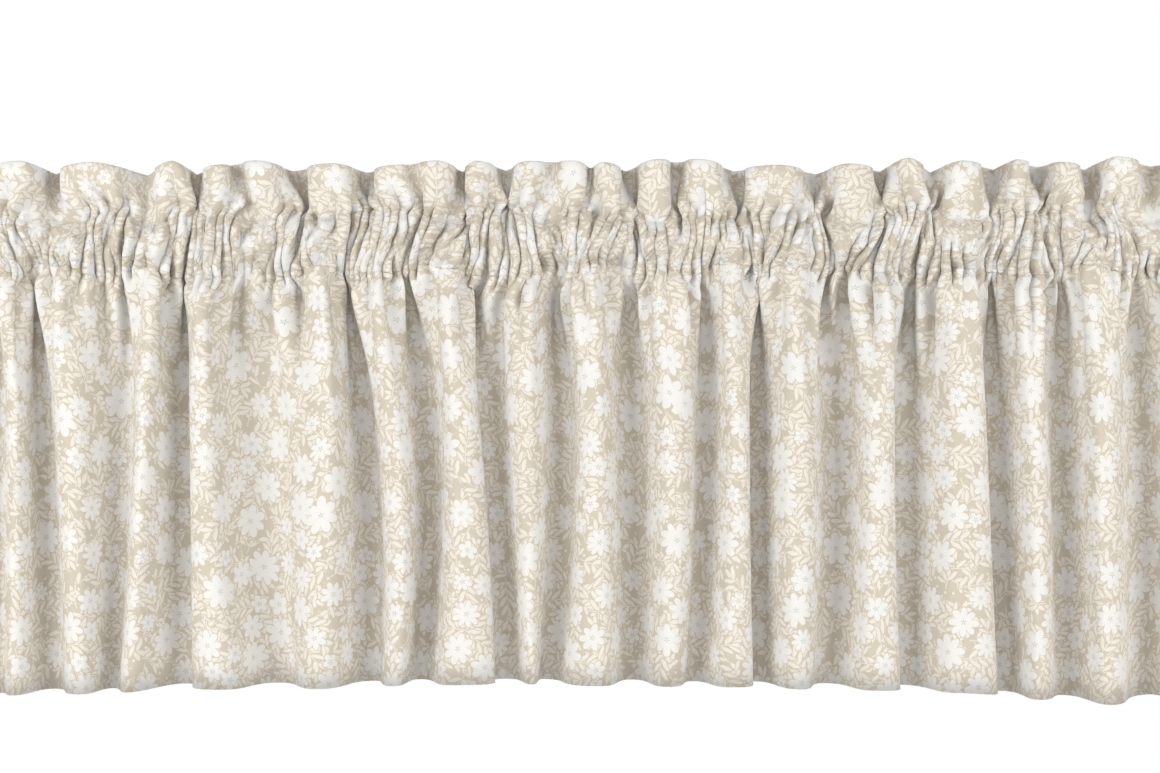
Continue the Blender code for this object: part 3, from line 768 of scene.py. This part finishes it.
# The skirt.
# The cloth below the pocket. Its puckers open into the hung folds within a hand's breadth. The hem is turned
# up to the back and the two sides are turned in, each sewn down from the same cloth.
HEM_TURN = 25.0
SIDE_TURN = 12.0
TURN_GAP = 1.0
SKIRT_DROP = 300.0
OPENING_RUN = 0.068
SKIRT_SWELL = 2.5
SWELL_STARTS, SWELL_FULL, SWELL_RUN = 9.0, 12.0, 45.0
SETTLED = 14.0
FINE_RUN = 15.0
BROAD_STARTS, BROAD_FULL, BROAD_RUN = 12.0, 25.0, 80.0
SEAM_LAP = 0.85
SLOW_WRINKLE = wandering(59, 34.0)
WRINKLE_HEIGHT = 0.5
HemPoint = namedtuple("HemPoint", "x drop")
HEM_LINE = [
    HemPoint(-456, 386), HemPoint(-357, 383), HemPoint(-284, 380), HemPoint(-189, 379),
    HemPoint(-80, 376), HemPoint(15, 377), HemPoint(102, 378), HemPoint(197, 380),
    HemPoint(270, 382), HemPoint(335, 387), HemPoint(386, 390), HemPoint(456, 385),
]


def hem_drop(x):
    """How far below the top edge the hem hangs at x."""
    for a, b in zip(HEM_LINE, HEM_LINE[1:]):
        if x <= b.x:
            return a.drop + (b.drop - a.drop) * smooth((x - a.x) / (b.x - a.x))
    return HEM_LINE[-1].drop


def small_push(x, below_seam):
    """How far the dying small folds push the skirt back at x."""
    push = 0.0
    for fold in SMALL_FOLDS:
        fade = smooth(1.0 - below_seam / fold.reach)
        centre = fold.x_top + (fold.x_foot - fold.x_top) * min(below_seam / fold.reach, 1.0)
        push += fold.push * fade * math.exp(-((x - centre) / fold.width) ** 2)
    return push


def skirt_row(below, turned):
    """The cloth a given distance below the seam, on the face or turned up behind it."""
    z = SEAM_Z - below
    opened = 1.0 - (1.0 - GATHER_SHARE) * math.exp(-below / SKIRT_DROP / OPENING_RUN)
    spots = plan(skirt_creases(z), opened, leaning(-1))
    swell = SKIRT_SWELL * smooth(below / SWELL_STARTS) * (1.0 - smooth((below - SWELL_FULL) / SWELL_RUN))
    settled = smooth(below / SETTLED)
    spots = [s._replace(y=s.y - swell + small_push(s.x, below) * settled + WRINKLE_HEIGHT * wrinkle * settled)
             for s, wrinkle in zip(spots, SLOW_WRINKLE)]
    fine = math.exp(-(below / FINE_RUN) ** 2)
    broad = smooth(below / BROAD_STARTS) * (1.0 - smooth((below - BROAD_FULL) / BROAD_RUN))
    spots = gathered(spots, ((rumpled(LOWER_PUCKERS, -below), fine), (BROAD_PUCKERS, broad)))
    spots = layered(spots, -SEAM_LAP * (1.0 - smooth(below / BROAD_STARTS)) + turned * TURN_GAP)
    behind = layered(spots, TURN_GAP)
    away = below / SKIRT_DROP

    def lowered(spot, i):
        top = SEAM_LINE[min(abs(i), 2 * (COLUMNS - 1) - i)]
        return (spot.x, spot.y, top + (-hem_drop(spot.x) - top) * away, FLAT_WIDTH * i / (COLUMNS - 1))

    turn = round(SIDE_TURN / FLAT_WIDTH * COLUMNS)
    last = COLUMNS - 1
    left = [lowered(behind[i], -i) for i in range(turn, 0, -1)]
    right = [lowered(behind[last - i], last + i) for i in range(1, turn + 1)]
    return left + [lowered(spot, i) for i, spot in enumerate(spots)] + right


FACE_ROWS = [0, 1.5, 4, 7, 10.5, 14.5, 19, 24, 30, 37, 45, 54, 64, 76, 90, 106, 124, 144, 165, 187, 210, 233,
             256, 278, SKIRT_DROP]
skirt_rows = [skirt_row(below, 0) for below in FACE_ROWS]
skirt_heights = [SKIRT_DROP - below for below in FACE_ROWS]
for up in (0.6, 8.0, 16.0, HEM_TURN):
    skirt_rows.append(skirt_row(SKIRT_DROP - up, 1))
    skirt_heights.append(-up)
skirt = cloth_piece("skirt", skirt_rows[::-1], skirt_heights[::-1])
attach(skirt, "root")
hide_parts("panel")

# The heading.
# The turned-over top of the cloth: pocket front, ruffle front, over the edge, ruffle back, pocket back. The
# two rows of stitching hold the layers together, and the pocket between them stays open for a rod.
LAYER_PITCH = 1.7
RUFFLE_SWELL = 0.9
EDGE_RISE = 0.6
POCKET_ROWS = [0, 0.03, 0.07, 0.12, 0.17, 0.23, 0.29, 0.35, 0.41, 0.47, 0.53, 0.59, 0.65, 0.71, 0.77, 0.83,
               0.88, 0.93, 0.97]
RUFFLE_ROWS = [0, 0.05, 0.12, 0.21, 0.33, 0.48, 0.66, 0.85, 1.0]
BACK_RUFFLE_ROWS = [1.0, 0.7, 0.4, 0.15, 0]
BACK_POCKET_ROWS = [0.9, 0.7, 0.48, 0.25, 0.08, 0]
CRUMPLE = 4.2
CRUMPLE_RUN = Vector((8.0, 10.0))
FINE_CRUMPLE = 2.8
FINE_CRUMPLE_RUN = Vector((4.0, 7.0))
CRUMPLE_SLANT = 11.0
CREASE_REST = 0.2
BACK_FULLNESS = 0.6
FRONT_FULLNESS = 0.68
FRONT_SAG = 0.6
BROAD_SHARE = 0.45
PINCH_FADE = 0.3
FLAP_OPENS = 0.25
seam_plan = plan(skirt_creases(SEAM_Z), GATHER_SHARE, leaning(-1))
pinch_plan = plan(ruffle_creases(1.0), GATHER_SHARE, leaning(1))


def pocket_row(up, side, rise):
    """One row of a pocket wall, up from the seam (0) to the pinch (1). side is -1 for the front wall."""
    spots = [Spot(a.x + (b.x - a.x) * smooth(up), a.y + (b.y - a.y) * up, 0.0)
             for a, b in zip(seam_plan, pinch_plan)]
    swell = math.sin(math.pi * up) ** (
        BACK_FULLNESS if side > 0 else FRONT_FULLNESS + FRONT_SAG * (1.0 - up) ** 2)
    wall = POCKET_WALL if side > 0 else FRONT_WALL * (0.6 + 0.4 * up)
    above = up * (PINCH_Z - SEAM_Z)
    mixture = ((rumpled(UPPER_PUCKERS, above), smooth(up)), (rumpled(LOWER_PUCKERS, above), smooth(1.0 - up)),
               (BROAD_PUCKERS, BROAD_SHARE * swell))
    folded = layered(gathered(spots, mixture), side * LAYER_PITCH / 2)
    row = []
    for i, (spot, flat) in enumerate(zip(folded, spots)):
        puff = puffed(flat.x)
        broad = abs(noise.noise((flat.x / CRUMPLE_RUN.x, above / CRUMPLE_RUN.y, 3.5)))
        slant = flat.x / FINE_CRUMPLE_RUN.x + above / CRUMPLE_SLANT
        fine = abs(noise.noise((slant, above / FINE_CRUMPLE_RUN.y, 8.5)))
        crease = CRUMPLE * (broad - CREASE_REST) + FINE_CRUMPLE * (fine - CREASE_REST)
        y = spot.y + side * wall * swell - (rise * puff + crease * smooth(-side)) * swell
        z = SEAM_LINE[i] + (PINCH_LINE[i] - SEAM_LINE[i]) * up
        row.append((spot.x, y, z, FLAT_WIDTH * i / (COLUMNS - 1)))
    return row


def ruffle_row(up, side):
    """One row of the ruffle, up from the pinch (0) to its edge (1)."""
    opened = GATHER_SHARE + (1.0 - GATHER_SHARE) * math.sin(math.pi / 2 * up)
    spots = plan(ruffle_creases(1.0 - up), opened, leaning(1))
    mixture = ((rumpled(UPPER_PUCKERS, (PINCH_Z - SEAM_Z) * (1.0 + up)), math.exp(-(up / PINCH_FADE) ** 2)),
               (BROAD_PUCKERS, smooth(up / FLAP_OPENS) * (1.0 - up)))
    half = LAYER_PITCH / 2 + RUFFLE_SWELL * math.sin(math.pi * up)
    folded = layered(gathered(spots, mixture), side * half)
    return [(spot.x, spot.y, PINCH_LINE[i] * (1.0 - up) + flat.edge * up, FLAT_WIDTH * i / (COLUMNS - 1))
            for i, (spot, flat) in enumerate(zip(folded, spots))]


heading_rows = [pocket_row(up, -1, PUFF_RISE) for up in POCKET_ROWS]
heading_rows += [ruffle_row(up, -1) for up in RUFFLE_ROWS]
heading_rows.append([(x, y, z + EDGE_RISE, place) for x, y, z, place in ruffle_row(1.0, 0)])
heading_rows += [ruffle_row(up, 1) for up in BACK_RUFFLE_ROWS]
heading_rows += [pocket_row(up, 1, 0.0) for up in BACK_POCKET_ROWS]
heading_heights = [SKIRT_DROP]
for lower, upper in zip(heading_rows, heading_rows[1:]):
    steps = [math.dist(a[:3], b[:3]) for a, b in zip(lower, upper)]
    heading_heights.append(heading_heights[-1] + sorted(steps)[len(steps) // 2])
heading = cloth_piece("heading_cloth", heading_rows, heading_heights)
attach(heading, "root")
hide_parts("heading")

# The thread.
# Lockstitch in matching thread along the two gathered rows, on the face and the back, and along the hem.
STITCH = 3.0
STITCH_GAP = 0.7
THREAD_WIDTH = 0.35
THREAD_SUNK = 0.6
THREAD_COLOUR = (0.70, 0.66, 0.58, 1.0)
bpy.ops.mesh.primitive_uv_sphere_add(segments=6, ring_count=4, radius=1.0)
pattern = bpy.context.object
pattern.scale = (THREAD_WIDTH / 2, THREAD_WIDTH / 2, (STITCH - STITCH_GAP) / 2)
bpy.ops.object.transform_apply(location=False, rotation=False, scale=True)
stitch_points = [vertex.co.copy() for vertex in pattern.data.vertices]
stitch_faces = [tuple(face.vertices) for face in pattern.data.polygons]
bpy.data.objects.remove(pattern, do_unlink=True)
thread_points = []
thread_faces = []


def sew(row, outwards):
    """Stitches along a row of cloth, lying on the side that outwards (-1 front, 1 back) gives."""
    line = [Vector(point[:3]) for point in row]
    place = STITCH / 2
    run = 0.0
    for a, b, cloth in zip(line, line[1:], (q[3] - p[3] for p, q in zip(row, row[1:]))):
        run += abs(cloth)
        if run < place:
            continue
        place += STITCH
        lean = (b - a).normalized()
        out = Vector((lean.y, -lean.x, 0.0)) * -outwards
        middle = (a + b) / 2 + out * (CLOTH_THICKNESS + THREAD_WIDTH) / 2 * THREAD_SUNK
        turn = lean.to_track_quat("Z", "Y").to_matrix().to_4x4()
        first = len(thread_points)
        thread_points.extend((Matrix.Translation(middle) @ turn @ point) * MM for point in stitch_points)
        thread_faces.extend(tuple(first + corner for corner in face) for face in stitch_faces)


back_start = len(POCKET_ROWS) + len(RUFFLE_ROWS) + 1
sew(heading_rows[0], -1)
sew(heading_rows[len(POCKET_ROWS)], -1)
sew(heading_rows[back_start + len(BACK_RUFFLE_ROWS) - 1], 1)
sew(heading_rows[-1], 1)
sew(skirt_rows[-1], 1)
mesh = bpy.data.meshes.new("stitching")
mesh.from_pydata(thread_points, [], thread_faces)
mesh.shade_smooth()
stitching = bpy.data.objects.new("stitching", mesh)
bpy.context.scene.collection.objects.link(stitching)
thread = bpy.data.materials.new("Sewing thread")
thread.use_nodes = True
twist = put(thread.node_tree, "TexWave", {"bands_direction": "DIAGONAL"}, Scale=2200.0, Distortion=1.0,
            Vector=put(thread.node_tree, "TexCoord").outputs["Object"])
ply = put(thread.node_tree, "Bump", Height=twist.outputs["Fac"], Strength=0.4, Distance=0.0001)
strand = thread.node_tree.nodes["Principled BSDF"]
thread.node_tree.links.new(ply.outputs["Normal"], strand.inputs["Normal"])
strand.inputs["Base Color"].default_value = THREAD_COLOUR
strand.inputs["Roughness"].default_value = 0.6
strand.inputs["Sheen Weight"].default_value = 0.2
mesh.materials.append(thread)
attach(stitching, "root")

# The stage.
# A pale floor well below, a surround that is white to the eye and gives a faint warm light, and soft lamps
# before and behind the valance, as for a product picture.
FLOOR_Z = -1.2
FLOOR_RADIUS = 3.6
FLOOR_WHITE = (0.82, 0.82, 0.81, 1.0)
bpy.ops.mesh.primitive_circle_add(
    vertices=96, radius=FLOOR_RADIUS, fill_type="NGON", location=(0, 0, FLOOR_Z))
floor = bpy.context.object
floor.name = "floor"
floor_paint = bpy.data.materials.new("Pale floor")
floor_paint.use_nodes = True
floor_paint.node_tree.nodes["Principled BSDF"].inputs["Base Color"].default_value = FLOOR_WHITE
floor_paint.node_tree.nodes["Principled BSDF"].inputs["Roughness"].default_value = 0.9
floor.data.materials.append(floor_paint)

world = bpy.data.worlds.new("White surround")
bpy.context.scene.world = world
world.use_nodes = True
SOFT_LIGHT = (0.180, 0.158, 0.125, 1.0)
seen = world.node_tree.nodes.new("ShaderNodeLightPath")
backdrop = put(world.node_tree, "Mix", {"data_type": "RGBA"})
world.node_tree.links.new(seen.outputs["Is Camera Ray"], backdrop.inputs[0])
backdrop.inputs[6].default_value = SOFT_LIGHT
backdrop.inputs[7].default_value = (1.0, 1.0, 1.0, 1.0)
world.node_tree.links.new(backdrop.outputs[2], world.node_tree.nodes["Background"].inputs["Color"])

Lamp = namedtuple("Lamp", "name place size power")
LAMPS = [
    Lamp("left", (-1.9, -1.6, 0.3), 1.4, 56.0),
    Lamp("right", (1.9, -1.6, 0.3), 1.4, 47.0),
    Lamp("front", (0.0, -2.6, 0.3), 1.5, 23.0),
    Lamp("back", (0.6, 2.2, 0.6), 2.0, 52.0),
]
AIM = Vector((0.0, 0.0, -0.19))
for lamp in LAMPS:
    bpy.ops.object.light_add(type="AREA", location=lamp.place)
    light = bpy.context.object
    light.name = lamp.name
    light.data.size = lamp.size
    light.data.energy = lamp.power
    light.rotation_euler = (AIM - Vector(lamp.place)).to_track_quat("-Z", "Y").to_euler()

# The camera stands square before the valance. The picture is cut off just inside the two sides.
PICTURE_WIDTH = 0.845
CAMERA_AWAY = 1.4
PICTURE_MIDDLE_Z = -0.1614
bpy.ops.object.camera_add(location=(0.0, -CAMERA_AWAY, PICTURE_MIDDLE_Z), rotation=(math.pi / 2, 0.0, 0.0))
camera = bpy.context.object
camera.data.sensor_width = 36.0
camera.data.lens = camera.data.sensor_width * CAMERA_AWAY / PICTURE_WIDTH
bpy.context.scene.camera = camera
bpy.context.scene.view_settings.view_transform = "Standard"
